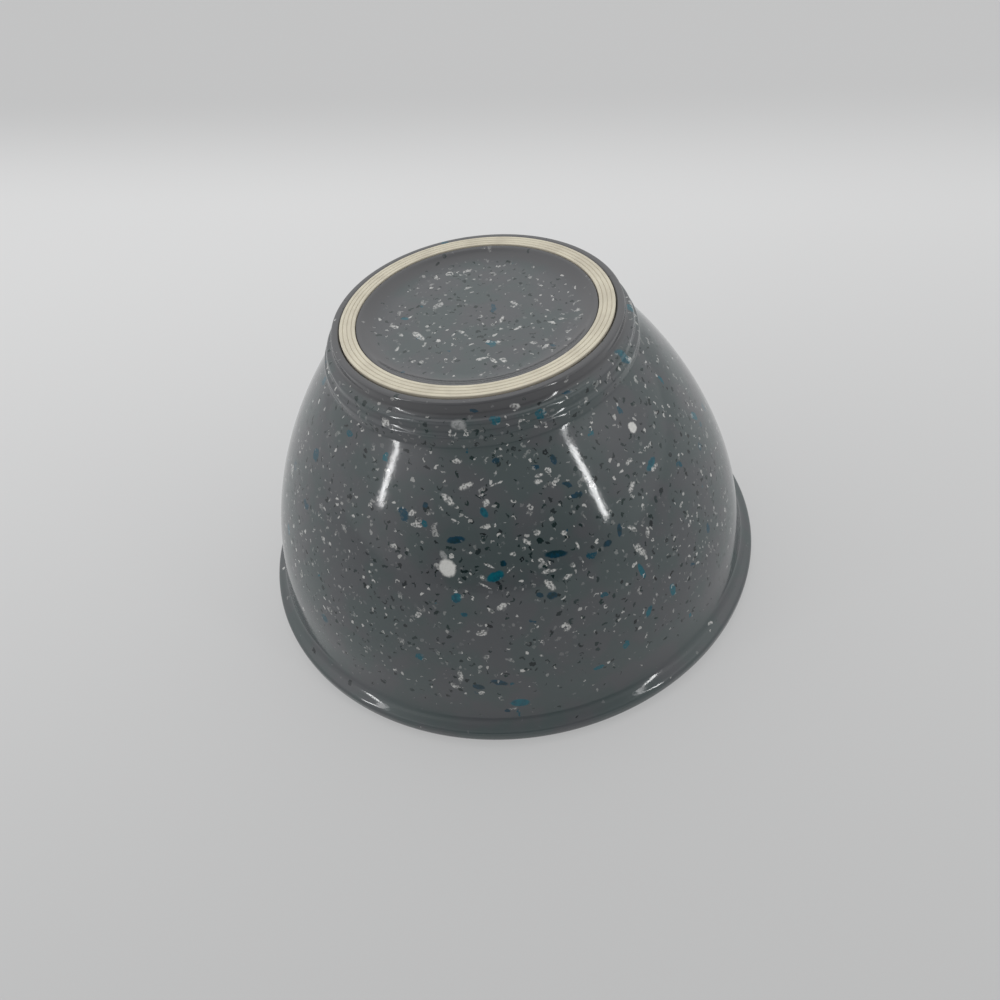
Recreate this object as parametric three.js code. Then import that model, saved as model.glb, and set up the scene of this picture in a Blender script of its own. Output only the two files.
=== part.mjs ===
// A moulded kitchen scrap bowl with a soft non-slip ring let into its foot.
// It is drawn upside down, standing on its rim: millimetres, +Z up, rim plane at z = 0,
// with the bowl's axis on the Z axis.

import * as THREE from 'three';

// Rolled rim round the mouth
const rimDiameter = 254;
const rimHeight = 10.5;
const rimOverhang = 7.4;
const rimFall = 2.7;
const rimUpperRound = 3.2;
const rimLowerRound = 5;
const rimCoveRadius = 8;
const mouthRound = 2.5;

// Domed wall, which leaves the rim upright and leans in towards the shoulder
const wallThickness = 3.2;
const wallRise = 34.1;
const shoulderLean = THREE.MathUtils.degToRad(40.9);
const shoulderRun = 50;

// Foot, and the two rounded terraces that step down from it to the shoulder of the wall
const bowlHeight = 145.4;
const footDiameter = 127.6;
const footWallHeight = 5.4;
const footEdgeRound = 1.2;
const terraceHeight = 5.85;
const upperTerraceDiameter = 134.8;
const upperTerraceRound = 3.2;
const lowerTerraceDiameter = 139.4;
const lowerTerraceRound = 2.3;
const shoulderCreaseRound = 2;

// Recessed base inside the foot
const baseThickness = 3.6;
const recessDepth = 3.8;
const recessLipWidth = 1.2;
const recessSlopeWidth = 6;
const recessLipRound = 3;
const recessFloorRound = 8;
const insideCornerRound = 14;

// Non-slip ring in its channel
const ringOuterDiameter = 119.8;
const ringWidth = 7;
const ringThickness = 2.6;
const ringProud = 0.6;
const ringEdgeRound = 0.35;
const ridgeCount = 4;
const grooveWidth = 0.55;
const grooveDepth = 0.5;
const seatClearance = 0.3;

// Facets
const facetsAround = 60;
const wallSteps = 10;
const roundStep = Math.PI / 6;

// Radii and heights that follow from the sizes above
const rimRadius = rimDiameter / 2;
const wallRadius = rimRadius - rimOverhang;
const footRadius = footDiameter / 2;
const footWallBase = bowlHeight - footWallHeight;
const upperTerraceRadius = upperTerraceDiameter / 2;
const upperTerraceBase = footWallBase - terraceHeight;
const lowerTerraceRadius = lowerTerraceDiameter / 2;
const shoulderHeight = upperTerraceBase - terraceHeight;
const ringOuterRadius = ringOuterDiameter / 2;
const ringInnerRadius = ringOuterRadius - ringWidth;
const ringTop = bowlHeight + ringProud;
const ringBase = ringTop - ringThickness;
const channelOuterRadius = ringOuterRadius + seatClearance;
const channelInnerRadius = ringInnerRadius - seatClearance;
const channelFloor = ringBase - seatClearance;
const recessRadius = channelInnerRadius - recessLipWidth;
const recessFloorRadius = recessRadius - recessSlopeWidth;
const recessFloor = bowlHeight - recessDepth;
const insideFloor = recessFloor - baseThickness;

// A corner of an outline: its radius from the axis, its height and the round that it gets
const corner = (radius, height, round = 0) => ({ point: new THREE.Vector2(radius, height), round });

function angleBetween(first, second) {
  return Math.atan2(first.cross(second), first.dot(second));
}

// Each corner with the ways to its neighbours, its turn and the length that its round takes
function surveyed(corners) {
  return corners.map(({ point, round }, index) => {
    const back = corners.at(index - 1).point.clone().sub(point);
    const ahead = corners[(index + 1) % corners.length].point.clone().sub(point);
    const turn = Math.PI - Math.abs(angleBetween(back, ahead));
    return { point, back, ahead, turn, reach: round * Math.tan(turn / 2) };
  });
}

// Points along the arc that rounds one corner
function roundedCorner({ point, back, ahead, turn }, reach) {
  const start = back.clone().setLength(reach).add(point);
  const end = ahead.clone().setLength(reach).add(point);
  const radius = reach / Math.tan(turn / 2);
  const towardsCentre = start.clone().add(end).addScaledVector(point, -2);
  const centre = towardsCentre.setLength(radius / Math.cos(turn / 2)).add(point);
  const sweep = angleBetween(start.clone().sub(centre), end.clone().sub(centre));
  const steps = Math.max(2, Math.ceil(turn / roundStep));
  return Array.from({ length: steps + 1 }, (_, step) => {
    return start.clone().rotateAround(centre, (sweep * step) / steps);
  });
}

// A closed outline with its corners rounded, where two rounds that meet share the edge between them
function outline(corners) {
  const survey = surveyed(corners);
  const points = survey.flatMap((each, index) => {
    if (each.reach === 0) return [each.point];
    const { reach: reachBefore } = survey.at(index - 1);
    const { reach: reachAfter } = survey[(index + 1) % survey.length];
    const shareBack = each.back.length() / (each.reach + reachBefore);
    const shareAhead = each.ahead.length() / (each.reach + reachAfter);
    return roundedCorner(each, each.reach * Math.min(1, shareBack, shareAhead));
  });
  return [...points, points[0].clone()];
}

// A closed outline, listed clockwise, turned about the Z axis into a solid that faces outwards
function revolved(corners) {
  return new THREE.LatheGeometry(outline(corners).reverse(), facetsAround).rotateX(Math.PI / 2);
}

// The outside of the wall, from the shoulder down to the rim
const shoulder = new THREE.Vector2(lowerTerraceRadius, shoulderHeight);
const downTheShoulder = new THREE.Vector2(Math.sin(shoulderLean), -Math.cos(shoulderLean));
const wallCurve = new THREE.CubicBezierCurve(
  shoulder,
  shoulder.clone().addScaledVector(downTheShoulder, shoulderRun),
  new THREE.Vector2(wallRadius, rimHeight + wallRise),
  new THREE.Vector2(wallRadius, rimHeight),
);

// Points down the wall, set in from its outside by a depth
function wallPoints(depth) {
  return Array.from({ length: wallSteps + 1 }, (_, step) => {
    const along = wallCurve.getTangent(step / wallSteps);
    const inwards = new THREE.Vector2(along.y, -along.x);
    return wallCurve.getPoint(step / wallSteps).addScaledVector(inwards, depth);
  });
}

// Sloping recess, inner lip, ring channel and outer lip of the foot, from the axis outwards
function footCorners() {
  return [
    corner(0, recessFloor),
    corner(recessFloorRadius, recessFloor, recessFloorRound),
    corner(recessRadius, bowlHeight, recessLipRound),
    corner(channelInnerRadius, bowlHeight),
    corner(channelInnerRadius, channelFloor),
    corner(channelOuterRadius, channelFloor),
    corner(channelOuterRadius, bowlHeight),
    corner(footRadius, bowlHeight, footEdgeRound),
  ];
}

// A crease under the foot's wall, the upper terrace, a second crease and the lower terrace
function terraceCorners() {
  return [
    corner(footRadius, footWallBase),
    corner(upperTerraceRadius, footWallBase, upperTerraceRound),
    corner(upperTerraceRadius, upperTerraceBase),
    corner(lowerTerraceRadius, upperTerraceBase, lowerTerraceRound),
  ];
}

// The outside of the wall, from the crease at the shoulder to just short of the rim's cove
function outsideCorners() {
  const [crease, ...below] = wallPoints(0).slice(0, -1);
  return [corner(crease.x, crease.y, shoulderCreaseRound), ...below.map(({ x, y }) => corner(x, y))];
}

// Rolled band: a wide cove that flares from the wall, a half-round edge and a flat land to stand on
function rimCorners() {
  return [
    corner(wallRadius, rimHeight, rimCoveRadius),
    corner(rimRadius, rimHeight - rimFall, rimUpperRound),
    corner(rimRadius, 0, rimLowerRound),
    corner(wallRadius - wallThickness, 0, mouthRound),
  ];
}

// The inside of the wall, carried on in a straight line to the rounded corner of the inside floor
function insideCorners() {
  const upwards = wallPoints(wallThickness).reverse();
  const end = upwards.at(-1);
  const floorRadius = end.x - (insideFloor - end.y) * Math.tan(shoulderLean);
  return [
    ...upwards.map(({ x, y }) => corner(x, y)),
    corner(floorRadius, insideFloor, insideCornerRound),
    corner(0, insideFloor),
  ];
}

function bowlShell() {
  return revolved([
    ...footCorners(),
    ...terraceCorners(),
    ...outsideCorners(),
    ...rimCorners(),
    ...insideCorners(),
  ]);
}

// A V-shaped groove between each pair of ridges on the ring's top face
function grooveCorners() {
  const pitch = (ringWidth + grooveWidth) / ridgeCount;
  return Array.from({ length: ridgeCount - 1 }, (_, index) => {
    const start = ringInnerRadius + pitch * (index + 1) - grooveWidth;
    return [
      corner(start, ringTop),
      corner(start + grooveWidth / 2, ringTop - grooveDepth),
      corner(start + grooveWidth, ringTop),
    ];
  }).flat();
}

function nonSlipRing() {
  return revolved([
    corner(ringInnerRadius, ringBase),
    corner(ringInnerRadius, ringTop, ringEdgeRound),
    ...grooveCorners(),
    corner(ringOuterRadius, ringTop, ringEdgeRound),
    corner(ringOuterRadius, ringBase),
  ]);
}

function piece(name, geometry, material) {
  const mesh = new THREE.Mesh(geometry, material);
  mesh.name = name;
  return mesh;
}

const melamine = new THREE.MeshStandardMaterial({ color: 0x4d5352, roughness: 0.2, metalness: 0 });
const softRubber = new THREE.MeshStandardMaterial({ color: 0xd9d2ba, roughness: 0.6, metalness: 0 });

const bowl = new THREE.Group();
bowl.add(piece('bowl_shell', bowlShell(), melamine));
bowl.add(piece('non_slip_ring', nonSlipRing(), softRubber));

export default bowl;
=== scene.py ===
# %% [markdown]
# # An upturned kitchen bowl with a speckled gloss
# The real bowl is one moulding of hard, glossy melamine with a cream rubber ring pressed into its foot.
# It stands on its rim, so the foot is on top.
# The engineering model already holds every size and place, so it is loaded first, as a frame that never
# moves. Each piece made below takes the place of one of its solids and adds the finish.

# %% Load the frame
from math import cos, pi, radians, sin, tan

import bmesh
import bpy
from mathutils import Matrix, Vector
from mathutils.geometry import interpolate_bezier


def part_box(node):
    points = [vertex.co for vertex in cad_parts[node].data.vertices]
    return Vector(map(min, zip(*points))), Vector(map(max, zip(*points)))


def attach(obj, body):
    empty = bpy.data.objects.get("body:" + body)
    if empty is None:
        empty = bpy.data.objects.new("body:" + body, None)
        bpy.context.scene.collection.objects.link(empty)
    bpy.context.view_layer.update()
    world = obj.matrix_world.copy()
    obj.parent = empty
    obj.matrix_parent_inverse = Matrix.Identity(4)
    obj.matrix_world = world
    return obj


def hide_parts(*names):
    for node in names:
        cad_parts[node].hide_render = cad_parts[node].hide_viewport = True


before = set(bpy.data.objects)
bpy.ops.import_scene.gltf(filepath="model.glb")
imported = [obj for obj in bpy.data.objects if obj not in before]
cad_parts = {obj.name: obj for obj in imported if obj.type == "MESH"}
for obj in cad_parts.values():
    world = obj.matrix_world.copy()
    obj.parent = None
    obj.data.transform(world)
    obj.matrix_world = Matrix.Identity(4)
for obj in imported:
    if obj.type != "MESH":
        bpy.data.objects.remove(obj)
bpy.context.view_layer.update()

mm = 0.001

# %% [markdown]
# ## The camera
# The picture looks down on the bowl from the front, and it is tilted a little to one side.
# A camera could be set by eye, but round shapes make it easy to be exact: the rim and the ring are circles,
# so the shape of their ellipses gives the height and the distance of the lens.
# The camera is first turned towards the middle of the rim, then nudged in its own axes.

# %% Camera
image_pixels = 1000
focal_pixels = 871.3
camera_distance = 0.48
camera_elevation = 47.61
nudge_left = 0.38
nudge_up = 2.28
tilt_clockwise = 8.89

away = radians(camera_elevation)
eye = Vector((0, -cos(away), sin(away))) * camera_distance
aim = Matrix.Rotation(pi / 2 - away, 3, "X")
nudge = Matrix.Rotation(radians(nudge_left), 3, "Y") @ Matrix.Rotation(radians(nudge_up), 3, "X")
tilt = Matrix.Rotation(-radians(tilt_clockwise), 3, "Z")
camera_turn = aim @ nudge @ tilt
bpy.ops.object.select_all(action="DESELECT")
bpy.ops.object.camera_add(location=eye, rotation=camera_turn.to_euler())
camera = bpy.context.object
camera.name = "camera"
camera.data.sensor_width = 36
camera.data.lens = camera.data.sensor_width * focal_pixels / image_pixels
bpy.context.scene.camera = camera
bpy.context.scene.view_settings.view_transform = "Standard"
print("camera at", eye, "lens", round(camera.data.lens, 2))

# %% [markdown]
# ## Small helpers for node trees
# Every finish here is a tree of nodes. A tree is easier to read when one short call adds a node, sets it
# and joins it to the rest, so these helpers do only that.

# %% Node helpers
def join(tree, socket, value):
    if isinstance(value, bpy.types.NodeSocket):
        tree.links.new(value, socket)
    else:
        socket.default_value = value


def add_node(tree, kind, settings=None, **inputs):
    node = tree.nodes.new(kind)
    for name, value in (settings or {}).items():
        setattr(node, name, value)
    for name, value in inputs.items():
        join(tree, node.inputs[name.replace("_", " ")], value)
    return node


def number(tree, operation, *values):
    node = tree.nodes.new("ShaderNodeMath")
    node.operation = operation
    for socket, value in zip(node.inputs, values):
        join(tree, socket, value)
    return node.outputs["Value"]


def vector(tree, operation, *values):
    node = tree.nodes.new("ShaderNodeVectorMath")
    node.operation = operation
    for socket, value in zip(node.inputs, values):
        join(tree, socket, value)
    scalar = operation in ("LENGTH", "DOT_PRODUCT")
    return node.outputs["Value" if scalar else "Vector"]


def scaled(tree, place, factor):
    node = add_node(tree, "ShaderNodeVectorMath", {"operation": "SCALE"}, Scale=factor)
    join(tree, node.inputs[0], place)
    return node.outputs["Vector"]


def ramp(tree, value, start, end, low=0.0, high=1.0):
    node = add_node(tree, "ShaderNodeMapRange", {"interpolation_type": "SMOOTHSTEP"}, Value=value,
                    From_Min=start, From_Max=end, To_Min=low, To_Max=high)
    return node.outputs["Result"]


def mixed(tree, amount, below, above):
    node = add_node(tree, "ShaderNodeMix", {"data_type": "RGBA"})
    join(tree, node.inputs[0], amount)
    join(tree, node.inputs[6], below)
    join(tree, node.inputs[7], above)
    return node.outputs[2]


# %% [markdown]
# ## The sheet
# The bowl stands on a plain pale sheet. A wall could stand behind it, but one sheet that runs on to the far
# end has no edge to hide, so its tone changes along its length instead, as painted light: painted shade in
# front, painted light behind the bowl and painted shade again at the far end, which lies a little skewed.
# Part of its brightness is a glow that only the camera and reflections see. The rest is lit by the studio,
# so the bowl keeps its shadow.

# %% Floor
floor_size = 8.0
paper_front_painted_shade = (0.504, 0.506, 0.507, 1)
paper_back_painted_light = (0.833, 0.836, 0.838, 1)
paper_far_painted_shade = (0.65, 0.652, 0.654, 1)
near_stretch = (-0.6, 0.5)
far_stretch = (0.36, 0.66)
far_skew = 20
paper_roughness = 0.75
paper_glow = 0.85
glow_share = 0.65

bpy.ops.object.select_all(action="DESELECT")
bpy.ops.mesh.primitive_plane_add(size=floor_size)
floor = bpy.context.object
floor.name = "floor"
paper = bpy.data.materials.new("matt_paper")
paper.use_nodes = True
tree = paper.node_tree
shader = tree.nodes["Principled BSDF"]
on_floor = add_node(tree, "ShaderNodeSeparateXYZ",
                    Vector=add_node(tree, "ShaderNodeTexCoord").outputs["Object"]).outputs
# painted light: the sheet's colour is darker in front, lighter behind the bowl and darker again far off
near_painted_light = mixed(tree, ramp(tree, on_floor["Y"], *near_stretch), paper_front_painted_shade, paper_back_painted_light)
skewed = number(tree, "MULTIPLY_ADD", on_floor["X"], tan(radians(far_skew)), on_floor["Y"])
sheet = mixed(tree, ramp(tree, skewed, *far_stretch), near_painted_light, paper_far_painted_shade)
join(tree, shader.inputs["Base Color"], sheet)
shader.inputs["Roughness"].default_value = paper_roughness
glow = add_node(tree, "ShaderNodeEmission", Color=sheet, Strength=paper_glow)
ray = add_node(tree, "ShaderNodeLightPath").outputs
seen = number(tree, "MAXIMUM", ray["Is Camera Ray"],
              number(tree, "MAXIMUM", ray["Is Glossy Ray"], ray["Is Transmission Ray"]))
softened = add_node(tree, "ShaderNodeMixShader")
join(tree, softened.inputs[0], number(tree, "MULTIPLY", seen, glow_share))
join(tree, softened.inputs[1], shader.outputs["BSDF"])
join(tree, softened.inputs[2], glow.outputs["Emission"])
join(tree, tree.nodes["Material Output"].inputs["Surface"], softened.outputs["Shader"])
floor.data.materials.append(paper)
print("floor", floor_size, "m")

# %% [markdown]
# ## The tent
# A glossy dark bowl shows its surroundings, so the tent round it matters more than for a matt object. It is
# bright above and behind, paler at the sides and open towards the camera, which keeps the front dark.
# Panels of cloth could be modelled, but the world is enough: its brightness is worked out from the
# direction of each ray, in a low band, a middle band and a roof.

# %% Tent
backdrop_brightness = 0.6
front_opening = (-1.0, -0.35)
side_to_back = (0.0, 1.0)
low_to_middle = (0.15, 0.5)
middle_to_roof = (0.55, 0.9)
roof_edge = (-0.25, 0.25)
roof_front = 0.25
roof_back = 1.16


def tent_band(tree, around, front, side, back):
    open_front = ramp(tree, around, *front_opening, front, side)
    return number(tree, "ADD", open_front, ramp(tree, around, *side_to_back, 0.0, back - side))


def blended(tree, amount, below, above):
    change = number(tree, "SUBTRACT", above, below)
    return number(tree, "MULTIPLY_ADD", amount, change, below)


tent = bpy.data.worlds.new("soft_tent")
tent.use_nodes = True
bpy.context.scene.world = tent
tree = tent.node_tree
tree.nodes.clear()
direction = add_node(tree, "ShaderNodeSeparateXYZ",
                     Vector=add_node(tree, "ShaderNodeTexCoord").outputs["Generated"]).outputs
level = number(tree, "SQRT", number(tree, "SUBTRACT", 1.0, number(tree, "POWER", direction["Z"], 2.0)))
around = number(tree, "DIVIDE", direction["Y"], level)
low_band = tent_band(tree, around, front=0.07, side=0.76, back=0.76)
middle_band = tent_band(tree, around, front=0.32, side=1.15, back=1.04)
roof = ramp(tree, direction["Y"], *roof_edge, roof_front, roof_back)
walls = blended(tree, ramp(tree, direction["Z"], *low_to_middle), low_band, middle_band)
brightness = blended(tree, ramp(tree, direction["Z"], *middle_to_roof), walls, roof)
tent_light = add_node(tree, "ShaderNodeBackground", Color=(1, 1, 1, 1), Strength=brightness)
plain = add_node(tree, "ShaderNodeBackground", Color=(1, 1, 1, 1), Strength=backdrop_brightness)
seen = add_node(tree, "ShaderNodeMixShader")
join(tree, seen.inputs[0], add_node(tree, "ShaderNodeLightPath").outputs["Is Camera Ray"])
join(tree, seen.inputs[1], tent_light.outputs["Background"])
join(tree, seen.inputs[2], plain.outputs["Background"])
add_node(tree, "ShaderNodeOutputWorld", Surface=seen.outputs["Shader"])
print("tent", len(tree.nodes), "nodes")

# %% [markdown]
# ## The strip lamps
# Two tall narrow lamps stand in front, left and right, and make the two long highlights on the wall. Each
# is brighter in its lower part, so it is built from two area lamps, one standing on the other.

# %% Strip lamps
strips = {"strip_left": (-64.3, 0.205), "strip_right": (43.7, 0.16)}
strip_distance = 0.6
strip_width = 0.026
strip_joint = 0.42
strip_top = 0.75
bright_strip = 18
dim_strip = 6


def add_strip(name, bearing, foot, top, radiance):
    turn = radians(bearing)
    height = top - foot
    place = Vector((sin(turn) * strip_distance, -cos(turn) * strip_distance, foot + height / 2))
    bpy.ops.object.light_add(type="AREA", location=place, rotation=(pi / 2, 0, turn))
    lamp = bpy.context.object
    lamp.name = name
    lamp.data.shape = "RECTANGLE"
    lamp.data.size = strip_width
    lamp.data.size_y = height
    lamp.data.energy = radiance * pi * strip_width * height
    lamp.visible_camera = False
    return lamp


# each strip has a bearing in degrees and the height of its foot
for name, (bearing, foot) in strips.items():
    lower = add_strip(name + "_low", bearing, foot, strip_joint, bright_strip)
    upper = add_strip(name + "_high", bearing, strip_joint, strip_top, dim_strip)
    print(name, lower.data.energy, upper.data.energy, "W")

# %% [markdown]
# ## The bowl's outline
# A moulded bowl is a turned shape: one outline carried once round an axis. It could be made from a stack of
# circles, but then every round would be a guess. Here the outline is drawn as a wire of straight lines, its
# corners are rounded with a vertex bevel, and Spin turns it into a closed body.
# The rim, the foot and the ring take their sizes from the frame. The sizes in between are in millimetres.
# The wall flares gently into the rim, and the foot comes down to the wall in two small terraces.

# %% Sizes of the bowl
_, bowl_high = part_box("bowl_shell")
ring_low, ring_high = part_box("non_slip_ring")
rim_radius = bowl_high[0]
foot_top = bowl_high[2]
ring_radius = ring_high[0]
ring_bottom = ring_low[2]
ring_top = ring_high[2]
ring_width = 7 * mm
seat_gap = 0.3 * mm

wall_thickness = 3.2 * mm
rim_overhang = 7.4 * mm
wall_radius = rim_radius - rim_overhang
wall_end = 10.5 * mm
wall_rise = 34.1 * mm
shoulder_lean = radians(40.9)
shoulder_run = 50 * mm

flare_height = 20.5 * mm
flare_reach = 5 * mm
flare_inset = 0.2 * mm
neck_overhang = 5.9 * mm
neck_radius = rim_radius - neck_overhang
rim_height = 11.5 * mm
rim_fall = 3.3 * mm

foot_radius = 63.8 * mm
upper_terrace = 67.5 * mm
lower_terrace = 69.7 * mm
terrace_draft = 0.3 * mm
foot_wall = foot_top - 5.8 * mm
upper_edge = foot_wall - 1.3 * mm
upper_base = foot_top - 11.1 * mm
lower_edge = upper_base - 1.2 * mm
shoulder_height = foot_top - 17.1 * mm

channel_outer = ring_radius + seat_gap
channel_inner = ring_radius - ring_width - seat_gap
channel_floor = ring_bottom - seat_gap
recess_lip = 1.2 * mm
recess_slope = 6 * mm
recess_depth = 3.8 * mm
base_thickness = 3.6 * mm
recess_radius = channel_inner - recess_lip
recess_floor_radius = recess_radius - recess_slope
recess_floor = foot_top - recess_depth
inside_floor = recess_floor - base_thickness
print("rim", rim_radius, "foot top", foot_top, "ring", ring_radius, ring_bottom, ring_top)

# %% [markdown]
# The side of the bowl is one smooth curve. It leaves the shoulder at a lean and comes down upright at the
# rim, so a curve with two handles describes it, and the inside wall is the same curve set in by the wall's
# thickness.

# %% Wall curve
wall_steps = 36


def wall_line(depth):
    start = Vector((lower_terrace, 0, shoulder_height))
    lean = Vector((sin(shoulder_lean), 0, -cos(shoulder_lean)))
    end = Vector((wall_radius, 0, wall_end))
    points = interpolate_bezier(start, start + lean * shoulder_run, end + Vector((0, 0, wall_rise)),
                                end, wall_steps)
    line = []
    for index, point in enumerate(points):
        ahead = points[min(index + 1, wall_steps - 1)] - points[max(index - 1, 0)]
        line.append(point + Vector((ahead.z, 0, -ahead.x)).normalized() * depth)
    return line


outside = [point for point in wall_line(0) if point.z > flare_height + flare_reach]
inside = list(reversed(wall_line(wall_thickness)))
print("wall from", outside[0], "to", outside[-1])

# %% [markdown]
# A corner is a place and the radius of its round. The list runs from the axis over the foot, down the
# outside, round the rim and back up the inside to the axis.
# Sharp steps would show the lamps as thin lines. On the real terraces each highlight is a pair that meets,
# which only a wide hollow below a softly rolled edge can give, so these rounds are chosen with care.

# %% Rounds of the bowl
soft_edge = 0.25 * mm
recess_floor_round = 18 * mm
recess_lip_round = 3 * mm
lip_round = 1.1 * mm
foot_edge_round = 1.2 * mm
foot_hollow = 3 * mm
upper_edge_round = 2 * mm
upper_hollow = 2.5 * mm
lower_edge_round = 1.6 * mm
shoulder_hollow = 2.2 * mm
flare_round = 30 * mm
neck_round = 6.5 * mm
rim_upper_round = 3 * mm
rim_lower_round = 5 * mm
mouth_round = 2.5 * mm
inside_corner_round = 14 * mm
print("widest round:", flare_round, "finest:", soft_edge)

# %% Corners of the bowl
def corner(radius, height, rounded=0.0):
    return Vector((radius, 0, height)), rounded


def plain_corners(points):
    return [(point, 0.0) for point in points]


foot_corners = [
    corner(0, recess_floor),
    corner(recess_floor_radius, recess_floor, recess_floor_round),
    corner(recess_radius, foot_top, recess_lip_round),
    corner(channel_inner, foot_top, soft_edge),
    corner(channel_inner, channel_floor, soft_edge),
    corner(channel_outer, channel_floor, soft_edge),
    corner(channel_outer, foot_top, lip_round),
    corner(foot_radius, foot_top, foot_edge_round),
    corner(foot_radius, foot_wall, foot_hollow),
    corner(upper_terrace, upper_edge, upper_edge_round),
    corner(upper_terrace + terrace_draft, upper_base, upper_hollow),
    corner(lower_terrace, lower_edge, lower_edge_round),
    corner(lower_terrace, shoulder_height, shoulder_hollow),
]
rim_corners = [
    corner(wall_radius - flare_inset, flare_height, flare_round),
    corner(neck_radius, rim_height, neck_round),
    corner(rim_radius, rim_height - rim_fall, rim_upper_round),
    corner(rim_radius, 0, rim_lower_round),
    corner(wall_radius - wall_thickness, 0, mouth_round),
]
floor_reach = (inside_floor - inside[-1].z) * tan(shoulder_lean)
base_corners = [
    corner(inside[-1].x - floor_reach, inside_floor, inside_corner_round),
    corner(0, inside_floor),
]
bowl_corners = (foot_corners + plain_corners(outside[1:]) + rim_corners
                + plain_corners(inside) + base_corners)
print("bowl outline:", len(bowl_corners), "corners")

# %% [markdown]
# Drawing the wire needs three small tools: one that pulls a point from corner to corner, one that rounds a
# corner, and one that turns the wire round the axis. A plane squeezed to its middle gives the first point.

# %% Wire tools
touching = 0.001 * mm
smooth_angle = radians(35)
fine_step = radians(9)
coarse_step = radians(15)


def draw_wire(name, corners):
    bpy.ops.object.select_all(action="DESELECT")
    bpy.ops.mesh.primitive_plane_add(size=mm)
    wire = bpy.context.object
    wire.name = name
    bpy.ops.object.mode_set(mode="EDIT")
    bpy.ops.mesh.select_mode(type="VERT")
    bpy.ops.mesh.select_all(action="SELECT")
    bpy.ops.mesh.merge(type="CENTER")
    bpy.ops.transform.translate(value=corners[0][0])
    for (start, _), (end, _) in zip(corners, corners[1:]):
        bpy.ops.mesh.extrude_vertices_move(TRANSFORM_OT_translate={"value": end - start})
    return wire


def pick_point(wire, place):
    shape = bmesh.from_edit_mesh(wire.data)
    for vertex in shape.verts:
        vertex.select = (vertex.co - place).length < touching
    shape.select_flush_mode()
    bmesh.update_edit_mesh(wire.data)


def round_corners(wire, corners, step):
    for before, (place, rounded), after in zip(corners, corners[1:], corners[2:]):
        if rounded:
            turn = (place - before[0]).angle(after[0] - place)
            pick_point(wire, place)
            bpy.ops.mesh.bevel(affect="VERTICES", offset_type="ABSOLUTE", offset=rounded * tan(turn / 2),
                               segments=max(3, round(turn / step)), profile=0.5, clamp_overlap=False)


def spin_round(wire, steps):
    bpy.ops.mesh.select_all(action="SELECT")
    bpy.ops.mesh.remove_doubles(threshold=touching)
    bpy.ops.mesh.spin(steps=steps, angle=2 * pi, center=(0, 0, 0), axis=(0, 0, 1))
    bpy.ops.mesh.select_all(action="SELECT")
    bpy.ops.mesh.remove_doubles(threshold=touching)
    bpy.ops.mesh.normals_make_consistent(inside=False)
    bpy.ops.object.mode_set(mode="OBJECT")
    bpy.ops.object.shade_smooth_by_angle(angle=smooth_angle)


# %% [markdown]
# The bowl itself then takes three calls. It rides on the frame's root and takes the place of the plain
# solid.

# %% Bowl
turning_steps = 256

bowl = draw_wire("speckled_bowl", bowl_corners)
round_corners(bowl, bowl_corners, fine_step)
spin_round(bowl, turning_steps)
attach(bowl, "root")
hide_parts("bowl_shell")
print("bowl faces:", len(bowl.data.polygons))

# %% [markdown]
# ## The non-slip ring
# The ring is soft rubber with four low ridges, so that the bowl grips the worktop. It is turned in the same
# way. Each groove is a small V, and its upper edges are rounded so that the ridges catch a soft light.

# %% Ring
ridge_count = 4
groove_width = 0.5 * mm
groove_depth = 0.35 * mm
ridge_round = 0.3 * mm
groove_round = 0.08 * mm
ring_lower_round = 0.2 * mm
ring_upper_round = 0.45 * mm
ring_inner = ring_radius - ring_width
ridge_pitch = (ring_width + groove_width) / ridge_count


def groove_corners(index):
    start = ring_inner + ridge_pitch * index - groove_width
    return [
        corner(start, ring_top, ridge_round),
        corner(start + groove_width / 2, ring_top - groove_depth, groove_round),
        corner(start + groove_width, ring_top, ridge_round),
    ]


ring_corners = [
    corner(ring_radius, ring_bottom),
    corner(ring_inner, ring_bottom, ring_lower_round),
    corner(ring_inner, ring_top, ring_upper_round),
    *[place for index in range(1, ridge_count) for place in groove_corners(index)],
    corner(ring_radius, ring_top, ring_upper_round),
    corner(ring_radius, ring_bottom),
]
ring = draw_wire("cream_ring", ring_corners)
round_corners(ring, ring_corners, coarse_step)
spin_round(ring, turning_steps)
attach(ring, "root")
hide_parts("non_slip_ring")
print("ring faces:", len(ring.data.polygons))

# %% [markdown]
# ## Speckled melamine
# The bowl is pressed from grey resin with flakes of white, teal and navy resin stirred in. A flake is a
# small flat crumb at any angle, and the polished surface cuts through it, so the same kind of flake shows
# as a round chip, an oval or a thin streak.
# A printed pattern could copy that, but it would need a flat layout of the bowl. Here the flakes are in the
# solid: cells in space each hold one flake, and the surface shows whatever it cuts. The group below finds
# how much of a flake covers a place, with all lengths in millimetres.

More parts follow.
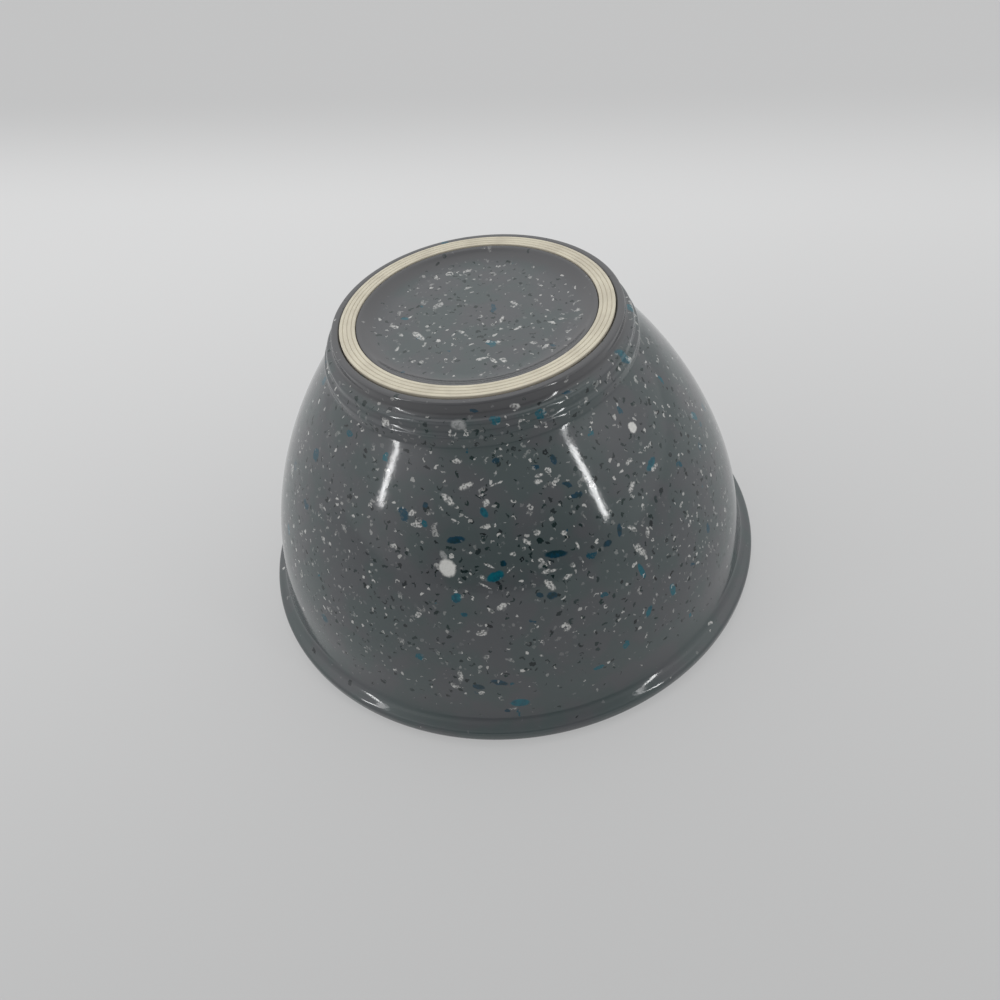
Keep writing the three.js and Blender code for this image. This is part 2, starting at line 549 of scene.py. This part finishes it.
# %% One kind of flake
def flake_group():
    group = bpy.data.node_groups.new("stirred_flakes", "ShaderNodeTree")
    sockets = group.interface
    sockets.new_socket("Place", in_out="INPUT", socket_type="NodeSocketVector")
    for name in ("Cell", "Radius", "Thickness", "Share", "Blur"):
        sockets.new_socket(name, in_out="INPUT", socket_type="NodeSocketFloat")
    for name in ("Cover", "Chance", "Tone"):
        sockets.new_socket(name, in_out="OUTPUT", socket_type="NodeSocketFloat")
    given = group.nodes.new("NodeGroupInput").outputs
    cells = add_node(group, "ShaderNodeTexVoronoi", Vector=given["Place"],
                     Scale=number(group, "DIVIDE", 1.0, given["Cell"]))
    centre = cells.outputs["Position"]
    from_centre = vector(group, "SUBTRACT", given["Place"], centre)
    luck = add_node(group, "ShaderNodeSeparateColor", Color=cells.outputs["Color"]).outputs
    spun = add_node(group, "ShaderNodeTexWhiteNoise", Vector=centre)
    facing = vector(group, "NORMALIZE", vector(group, "SUBTRACT", spun.outputs["Color"], (0.5, 0.5, 0.5)))
    more_luck = add_node(group, "ShaderNodeSeparateColor", Color=add_node(
        group, "ShaderNodeTexWhiteNoise", Vector=scaled(group, centre, 1.7)).outputs["Color"]).outputs

    # each flake has its own size and thickness, and most are a little curled
    size = number(group, "MULTIPLY_ADD", luck["Red"], 0.65, 0.35)
    radius = number(group, "MULTIPLY", given["Radius"], size)
    slimness = number(group, "MULTIPLY_ADD", more_luck["Red"], 0.9, 0.4)
    thickness = number(group, "MULTIPLY", number(group, "MULTIPLY", given["Thickness"], size), slimness)
    curl = number(group, "MULTIPLY", radius, more_luck["Green"])
    across = number(group, "DIVIDE", vector(group, "LENGTH", from_centre), radius)
    dish = number(group, "SUBTRACT", number(group, "MULTIPLY", across, across), 0.35)
    off_sheet = number(group, "MULTIPLY_ADD", dish, curl, vector(group, "DOT_PRODUCT", from_centre, facing))
    through = number(group, "DIVIDE", off_sheet, thickness)
    depth = number(group, "SQRT", number(group, "ADD", number(group, "POWER", across, 4.0),
                                         number(group, "MULTIPLY", through, through)))
    shape = ramp(group, depth, number(group, "ADD", 1.0, given["Blur"]), 1.0)
    there = number(group, "LESS_THAN", luck["Green"], given["Share"])
    result = group.nodes.new("NodeGroupOutput")
    join(group, result.inputs["Cover"], number(group, "MULTIPLY", shape, there))
    join(group, result.inputs["Chance"], luck["Blue"])
    join(group, result.inputs["Tone"], more_luck["Blue"])
    return group


stirred_flakes = flake_group()
print("flake group:", len(stirred_flakes.nodes), "nodes")

# %% [markdown]
# The biggest chips catch the eye, so they are placed one by one where the real bowl shows them. A chip is
# read off the picture as its two ends and its width, in pixels. The white ones are solid or torn, and a few
# lie deeper and look grey.

# %% Pale chips with a place
solid_chips = {
    "egg": ((444, 560), (451, 576), 16),
    "pebble": ((630, 423), (635, 432), 10),
}
torn_chips = {
    "ring_chip_top": ((408, 515), (416, 511), 5),
    "ring_chip_low": ((411, 524), (422, 526), 5),
    "bean": ((442, 494), (453, 505), 7),
    "split_bean": ((459, 489), (473, 483), 6),
    "comma": ((487, 499), (485, 507), 6),
    "dash": ((480, 527), (490, 527), 3.5),
    "strand": ((489, 487), (503, 481), 2),
    "tall_chip": ((629, 493), (634, 482), 5),
    "loop": ((626, 464), (632, 459), 5),
    "upper_pill": ((535, 476), (543, 475), 3.5),
    "lower_pill": ((534, 482), (542, 481), 5),
    "tooth": ((545, 469), (551, 472), 5),
    "bud": ((534, 534), (540, 531), 6),
    "thorn": ((523, 539), (531, 545), 4),
    "seed": ((561, 533), (567, 533), 5),
    "fork": ((576, 541), (579, 549), 2.5),
    "bar": ((542, 573), (551, 570), 5),
    "bar_end": ((551, 571), (558, 569), 3),
    "slip": ((563, 579), (572, 574), 4.5),
    "wedge": ((545, 580), (555, 590), 6.5),
    "hook": ((571, 563), (574, 567), 4.5),
    "bead": ((510, 554), (516, 554), 4.5),
    "arch_left": ((562, 628), (565, 624), 4),
    "arch_right": ((566, 624), (571, 628), 4),
    "kite_top": ((484, 564), (494, 568), 2.5),
    "kite_foot": ((479, 583), (491, 589), 2),
    "kite_spark": ((481, 575), (484, 580), 4),
    "crumpled": ((497, 610), (506, 603), 6),
    "splinter": ((487, 608), (494, 613), 3.5),
    "flat_chip": ((476, 634), (487, 632), 6),
    "peg": ((459, 671), (462, 680), 5),
    "post": ((647, 527), (648, 538), 4.5),
    "nib": ((628, 526), (637, 531), 4.5),
    "ragged_pair": ((635, 546), (646, 555), 7),
    "base_hook": ((476, 360), (488, 357), 4),
    "base_hook_end": ((490, 358), (497, 363), 4),
    "base_star": ((502, 358), (506, 362), 4.5),
    "base_oval": ((392, 326), (398, 328), 5),
    "base_wing": ((413, 332), (424, 340), 6),
    "base_wing_tip": ((400, 334), (403, 336), 4),
    "base_dot": ((412, 361), (415, 362), 4.5),
    "base_chip": ((459, 331), (464, 333), 5),
    "base_leaf": ((514, 330), (521, 326), 4),
    "base_stalk": ((500, 323), (503, 316), 3.5),
    "base_bar": ((530, 342), (537, 343), 4.5),
    "base_bird": ((542, 349), (549, 344), 4),
    "base_dash": ((558, 319), (564, 318), 3.5),
    "base_flag": ((495, 342), (501, 342), 4),
    "foot_chip": ((510, 405), (520, 407), 6),
}
grey_chips = {
    "egg_tail": ((441, 551), (446, 560), 6),
    "terrace_smear": ((451, 424), (466, 426), 10),
    "egg_side": ((539, 568), (543, 562), 4),
}
print("pale chips:", len(solid_chips) + len(torn_chips) + len(grey_chips))

# %% Teal and dark chips with a place
teal_chips = {
    "kite": ((488, 580), (503, 573), 9),
    "drop": ((453, 601), (460, 595), 9),
    "drop_crumb": ((461, 614), (467, 615), 5),
    "bright_oval": ((648, 470), (654, 458), 7),
    "side_chip": ((639, 565), (645, 577), 5),
    "low_side_chip": ((647, 617), (651, 606), 5),
    "low_slab": ((512, 703), (529, 702), 9),
    "smear": ((481, 508), (487, 517), 6),
    "shoulder_smear": ((616, 352), (630, 362), 9),
}
deep_chips = {
    "dark_slab": ((448, 541), (464, 539), 7),
    "deep_bar": ((546, 555), (566, 553), 7),
    "oval": ((547, 596), (557, 595), 7),
    "oval_crumb": ((537, 594), (543, 596), 5),
    "round_dot": ((500, 564), (506, 563), 6),
    "small_oval": ((551, 455), (556, 464), 5),
    "upper_pair": ((563, 483), (572, 486), 4),
    "lower_pair": ((571, 497), (582, 493), 5),
    "right_fleck": ((619, 524), (620, 536), 5),
    "right_crumb": ((604, 546), (611, 541), 6),
    "low_bar": ((492, 681), (507, 684), 6),
    "low_chip": ((473, 686), (484, 688), 6),
    "low_speck": ((505, 710), (510, 711), 4),
    "dark_bud": ((493, 462), (499, 460), 6),
    "left_dot": ((424, 507), (427, 503), 5),
    "green_fleck": ((470, 410), (478, 411), 4),
}
print("teal and dark chips:", len(teal_chips) + len(deep_chips))

# %% [markdown]
# A ray from the camera through each end of a chip finds its place on the bowl, so the chip lies in the
# surface from every side. The chip is a soft ball there, stretched to its length and width.

# %% Chip tools
def seen_at(pixel):
    right, down = pixel
    middle = image_pixels / 2
    ray = camera_turn @ Vector((right - middle, middle - down, -focal_pixels))
    _, place, facing, _ = bowl.ray_cast(eye, ray.normalized())
    return place, facing


def chip_ball(tree, place, start_pixel, end_pixel, width_pixels):
    start, start_facing = seen_at(start_pixel)
    end, end_facing = seen_at(end_pixel)
    middle = (start + end) / 2
    along = (end - start).normalized()
    side = (start_facing + end_facing).cross(along).normalized()
    turn = Matrix((along, side, along.cross(side))).transposed()
    length = (end - start).length / mm
    width = width_pixels * (middle - eye).length / focal_pixels / mm
    stretched = add_node(tree, "ShaderNodeMapping", {"vector_type": "TEXTURE"}, Vector=place,
                         Location=middle / mm, Rotation=turn.to_euler(), Scale=(length, width, width))
    return add_node(tree, "ShaderNodeTexGradient", {"gradient_type": "SPHERICAL"},
                    Vector=stretched.outputs["Vector"]).outputs["Fac"]


# a ball fades from 1 at its middle to 0 at twice the chip's size, so the chip ends near 0.5
def chips(tree, place, placed, edge, blur=0.1):
    fullest = 0.0
    for ends in placed.values():
        fullest = number(tree, "MAXIMUM", chip_ball(tree, place, *ends), fullest)
    return ramp(tree, fullest, edge - blur, edge + blur)


bpy.context.view_layer.update()
print("egg chip at", seen_at(solid_chips["egg"][0])[0])

# %% [markdown]
# Real crumbs have torn edges. Before a place is looked up it is pushed about by noise, which bends straight
# flakes and roughens their outlines. The resin itself drifts between a greenish and a mauve grey.

# %% Resin
resin_green = (0.071, 0.091, 0.093, 1)
resin_mauve = (0.084, 0.090, 0.097, 1)
painted_reflection_grey = (0.084, 0.085, 0.090, 1)
rough_push = 2.8
gentle_push = 1.8
cloud_edge = (0.38, 0.62)

melamine = bpy.data.materials.new("speckled_gloss")
melamine.use_nodes = True
tree = melamine.node_tree
shader = tree.nodes["Principled BSDF"]
in_mm = scaled(tree, add_node(tree, "ShaderNodeTexCoord").outputs["Object"], 1 / mm)
torn = add_node(tree, "ShaderNodeTexNoise", Vector=in_mm, Scale=0.5, Detail=4.0, Roughness=0.72)
push = vector(tree, "SUBTRACT", torn.outputs["Color"], (0.5, 0.5, 0.5))
ragged = vector(tree, "ADD", in_mm, scaled(tree, push, rough_push))
nearly = vector(tree, "ADD", in_mm, scaled(tree, push, gentle_push))
fine = add_node(tree, "ShaderNodeTexNoise", Vector=in_mm, Scale=1.1, Detail=2.0).outputs["Fac"]
worn_through = ramp(tree, fine, 0.34, 0.52, 0.5, 1.0)
tattered = ramp(tree, fine, 0.40, 0.60, 0.15, 0.9)
cloud = add_node(tree, "ShaderNodeTexNoise", Vector=in_mm, Scale=0.06, Detail=2.0).outputs["Fac"]
colour = mixed(tree, ramp(tree, cloud, *cloud_edge), resin_green, resin_mauve)
print("resin:", len(tree.nodes), "nodes")

# %% [markdown]
# The flakes are not spread evenly. They gather in drifts, few of them reach the rim, and the edge of the
# foot is nearly bare, and a warmer grey is painted on there as a painted reflection. These limits are
# heights and radii in millimetres.

# %% Where the flakes gather
bare_height = (138.5, 140.5)
bare_radius = (43.0, 48.0)
bare_share = 0.1
rim_fade = (10.0, 50.0)
rim_share = 0.08
drift_edge = (0.3, 0.7)
drift_share = (0.85, 1.15)

drift = add_node(tree, "ShaderNodeTexNoise", Vector=in_mm, Scale=0.035, Detail=1.0).outputs["Fac"]
height = add_node(tree, "ShaderNodeSeparateXYZ", Vector=in_mm).outputs["Z"]
from_axis = vector(tree, "LENGTH", vector(tree, "MULTIPLY", in_mm, (1, 1, 0)))
bare_foot_and_painted_reflection = number(tree, "MULTIPLY", ramp(tree, height, *bare_height), ramp(tree, from_axis, *bare_radius))
# painted reflection: the edge of the foot is painted a warmer grey; the same mask also thins the flakes
# there
colour = mixed(tree, bare_foot_and_painted_reflection, colour, painted_reflection_grey)
spread = number(tree, "MULTIPLY", ramp(tree, bare_foot_and_painted_reflection, 0.0, 1.0, 1.0, bare_share),
                ramp(tree, height, *rim_fade, rim_share, 1.0))
gathered = number(tree, "MULTIPLY", ramp(tree, drift, *drift_edge, *drift_share), spread)


def part_of(share):
    return number(tree, "MULTIPLY", gathered, share)


print("with drifts:", len(tree.nodes), "nodes")

# %% [markdown]
# Each kind of flake has its own cell, radius, thickness and share. The layers go on from the faintest to
# the brightest, so where two flakes meet, the brighter one covers the other.

# %% Dark and teal flakes
flake_grey = (0.30, 0.31, 0.31, 1)
flake_teal = (0.001, 0.108, 0.145, 1)
flake_blue = (0.001, 0.038, 0.070, 1)
flake_navy = (0.003, 0.006, 0.009, 1)
flake_green = (0.002, 0.020, 0.019, 1)
teal_edge = 0.44


def flakes(shift, cell, radius, thickness, share, blur):
    moved = vector(tree, "ADD", ragged, shift)
    node = add_node(tree, "ShaderNodeGroup", {"node_tree": stirred_flakes}, Place=moved, Cell=cell,
                    Radius=radius, Thickness=thickness, Share=part_of(share), Blur=blur)
    return node.outputs["Cover"], node.outputs["Chance"], node.outputs["Tone"]


def faded(cover, luck, weakest, strongest=1.0):
    return number(tree, "MULTIPLY", cover, ramp(tree, luck, 0.0, 1.0, weakest, strongest))


# faint specks and navy crumbs
cover, _, tone = flakes((31, 7, 13), cell=3.2, radius=0.95, thickness=0.45, share=0.7, blur=0.5)
colour = mixed(tree, faded(cover, tone, 0.05, 0.35), colour, flake_grey)
cover, chance, tone = flakes((3, 41, 19), cell=3.6, radius=1.5, thickness=0.62, share=0.72, blur=0.3)
colour = mixed(tree, faded(cover, tone, 0.8), colour, mixed(tree, chance, flake_navy, flake_green))

# teal chips, scattered and placed
cover, _, tone = flakes((17, 23, 5), cell=12.0, radius=3.2, thickness=1.6, share=0.5, blur=0.3)
colour = mixed(tree, number(tree, "MULTIPLY", cover, worn_through), colour,
               mixed(tree, tone, flake_blue, flake_teal))
streaked = ramp(tree, torn.outputs["Fac"], 0.35, 0.6, 0.25, 1.0)
colour = mixed(tree, chips(tree, nearly, teal_chips, teal_edge), colour,
               mixed(tree, streaked, flake_blue, flake_teal))
colour = mixed(tree, chips(tree, nearly, deep_chips, teal_edge), colour,
               mixed(tree, streaked, flake_green, flake_blue))
print("with dark and teal flakes:", len(tree.nodes), "nodes")

# %% [markdown]
# White comes last because it is what the eye sees first. The larger flakes and most of the placed chips are
# tattered: a fine noise wears holes in them, so that they look like torn resin and not like paint.

# %% White flakes
flake_white = (0.70, 0.70, 0.675, 1)
flake_pale = (0.64, 0.64, 0.62, 1)
solid_edge = 0.48
torn_edge = 0.5
grey_blur = 0.15

cover, _, tone = flakes((11, 2, 37), cell=3.5, radius=1.1, thickness=0.44, share=0.8, blur=0.4)
colour = mixed(tree, faded(cover, tone, 0.1, 0.85), colour, flake_pale)
cover, _, tone = flakes((47, 61, 3), cell=6.5, radius=2.3, thickness=0.75, share=0.42, blur=0.3)
colour = mixed(tree, faded(number(tree, "MULTIPLY", cover, tattered), tone, 0.3), colour, flake_pale)
cover, _, tone = flakes((29, 53, 43), cell=16.0, radius=3.2, thickness=1.3, share=0.2, blur=0.25)
colour = mixed(tree, faded(number(tree, "MULTIPLY", cover, tattered), tone, 0.5), colour, flake_pale)
grey = chips(tree, nearly, grey_chips, torn_edge, grey_blur)
colour = mixed(tree, number(tree, "MULTIPLY", grey, worn_through), colour, flake_grey)
white = chips(tree, nearly, torn_chips, torn_edge)
colour = mixed(tree, number(tree, "MULTIPLY", white, tattered), colour, flake_pale)
colour = mixed(tree, chips(tree, nearly, solid_chips, solid_edge), colour,
               mixed(tree, ramp(tree, fine, 0.3, 0.6), flake_pale, flake_white))
join(tree, shader.inputs["Base Color"], colour)
print("with white flakes:", len(tree.nodes), "nodes")

# %% [markdown]
# The gloss is hard but a little uneven. A slow ripple, as on any pressed surface, breaks up the edges of
# the highlights.

# %% Gloss
melamine_bend = 1.55
gloss_roughness = (0.07, 0.1)
ripple_height = 0.3 * mm

join(tree, shader.inputs["Roughness"], ramp(tree, cloud, 0.3, 0.7, *gloss_roughness))
shader.inputs["IOR"].default_value = melamine_bend
ripple = add_node(tree, "ShaderNodeTexNoise", Vector=in_mm, Scale=0.25, Detail=4.0, Roughness=0.6)
bump = add_node(tree, "ShaderNodeBump", Height=ripple.outputs["Fac"], Strength=0.13,
                Distance=ripple_height)
join(tree, shader.inputs["Normal"], bump.outputs["Normal"])
bowl.data.materials.append(melamine)
print("melamine:", len(tree.nodes), "nodes")

# %% [markdown]
# ## Cream rubber
# The ring is pale soft rubber with a satin face. Handling leaves it a little uneven in tone, so the colour
# drifts with noise, and below the tops of the ridges it darkens into the grooves as painted shade.

# %% Rubber
cream = (0.745, 0.695, 0.555, 1)
cream_worn = (0.64, 0.59, 0.47, 1)
groove_painted_shade = (0.56, 0.51, 0.41, 1)
satin_roughness = 0.55
unshaded_ridge_top = 0.05 * mm
grain_height = 0.1 * mm

rubber = bpy.data.materials.new("satin_cream")
rubber.use_nodes = True
tree = rubber.node_tree
shader = tree.nodes["Principled BSDF"]
place = add_node(tree, "ShaderNodeTexCoord").outputs["Object"]
drift = add_node(tree, "ShaderNodeTexNoise", Vector=place, Scale=90.0, Detail=4.0)
skin = mixed(tree, ramp(tree, drift.outputs["Fac"], 0.35, 0.7), cream, cream_worn)
height = add_node(tree, "ShaderNodeSeparateXYZ", Vector=place).outputs["Z"]
# painted shade: the colour darkens below the ridge tops, down into the grooves
groove_shade_mask = ramp(tree, height, ring_top - unshaded_ridge_top, ring_top - groove_depth)
join(tree, shader.inputs["Base Color"], mixed(tree, groove_shade_mask, skin, groove_painted_shade))
shader.inputs["Roughness"].default_value = satin_roughness
grain = add_node(tree, "ShaderNodeTexNoise", Vector=place, Scale=2500.0, Detail=2.0)
bump = add_node(tree, "ShaderNodeBump", Height=grain.outputs["Fac"], Strength=0.2, Distance=grain_height)
join(tree, shader.inputs["Normal"], bump.outputs["Normal"])
ring.data.materials.append(rubber)
print("rubber:", len(tree.nodes), "nodes")
